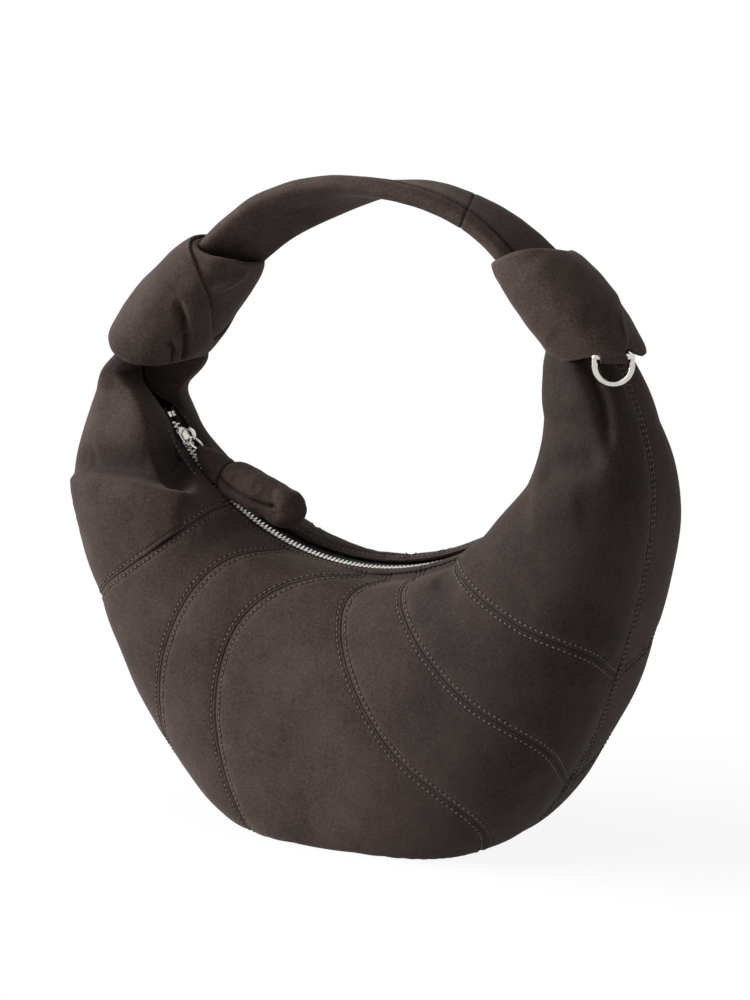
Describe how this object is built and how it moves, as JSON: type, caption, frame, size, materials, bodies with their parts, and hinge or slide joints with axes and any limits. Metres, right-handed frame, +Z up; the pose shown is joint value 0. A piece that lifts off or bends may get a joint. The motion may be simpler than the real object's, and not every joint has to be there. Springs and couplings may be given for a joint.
{
  "type": "half moon shoulder bag",
  "caption": "Soft crescent shoulder bag of curved suede panels with a zip along its inner curve, a padded zip pull and a handle knotted at both ends; carried on the shoulder or arm.",
  "frame": {"origin": "middle of the base, on the surface that the bag stands on", "axes": "+Z up, +Y from the front to the back, +X to the right seen from the front; the zip's closed end is at -X"},
  "size_m": [0.3122, 0.117, 0.3413],
  "materials": {
    "suede": "matt dark brown nubuck with tone-on-tone stitching",
    "lining": "plain woven lining",
    "zip_tape": "dark woven tape",
    "nickel": "polished nickel",
    "padding": "soft filling",
    "board": "flexible stiffening sheet"
  },
  "bodies": {
    "bag": {"front_horn_left": "suede", "back_horn_left": "suede", "front_side_left": "suede", "back_side_left": "suede", "front_mid_left": "suede", "back_mid_left": "suede", "front_centre": "suede", "back_centre": "suede", "front_mid_right": "suede", "back_mid_right": "suede", "front_side_right": "suede", "back_side_right": "suede", "front_horn_right": "suede", "back_horn_right": "suede", "lining_front": "lining", "lining_back": "lining", "base_board": "board", "zip_tape_front": "zip_tape", "zip_tape_back": "zip_tape", "zip_teeth_front": "nickel", "zip_teeth_back": "nickel", "zip_top_stop_front": "nickel", "zip_top_stop_back": "nickel", "zip_bottom_stop": "nickel", "neck_left": "suede", "neck_right": "suede"},
    "handle": {"strap_left": "suede", "strap_right": "suede", "strap_core": "padding", "knot_left": "suede", "knot_right": "suede", "ring_tab_left": "suede", "ring_tab_right": "suede"},
    "slider": {"slider_body": "nickel", "slider_crown": "nickel"},
    "pull_ring": {"pull_ring": "nickel"},
    "pull": {"pull_sleeve": "suede", "pull_puff": "suede", "pull_filling": "padding"},
    "d_ring_left": {"d_ring_left": "nickel"},
    "d_ring_right": {"d_ring_right": "nickel"}
  },
  "joints": [
    {"name": "zip_travel", "type": "hinge", "parent": "bag", "child": "slider", "pos_m": [0, 0, 0.271], "axis": [0, -1, 0], "range_deg": [0, 110]},
    {"name": "ring_lift", "type": "hinge", "parent": "slider", "child": "pull_ring", "pos_m": [-0.10764, 0, 0.19563], "axis": [0, -1, 0], "range_deg": [0, 55]},
    {"name": "pull_swing", "type": "hinge", "parent": "pull_ring", "child": "pull", "pos_m": [-0.1001, 0, 0.18861], "axis": [0, -1, 0], "range_deg": [0, 70]},
    {"name": "handle_lean", "type": "hinge", "parent": "bag", "child": "handle", "pos_m": [0, 0, 0.244], "axis": [1, 0, 0], "range_deg": [-30, 30], "stiffness_Nm_per_rad": 0.8},
    {"name": "d_ring_left_swing", "type": "hinge", "parent": "handle", "child": "d_ring_left", "pos_m": [-0.14318, 0.01802, 0.255], "axis": [0.8192, 0.5736, 0], "range_deg": [0, 80]},
    {"name": "d_ring_right_swing", "type": "hinge", "parent": "handle", "child": "d_ring_right", "pos_m": [0.14318, -0.01802, 0.255], "axis": [-0.8192, -0.5736, 0], "range_deg": [0, 80]}
  ],
  "couplings": [
    {"joint": "ring_lift", "follows": "zip_travel", "ratio": 0.5}
  ]
}
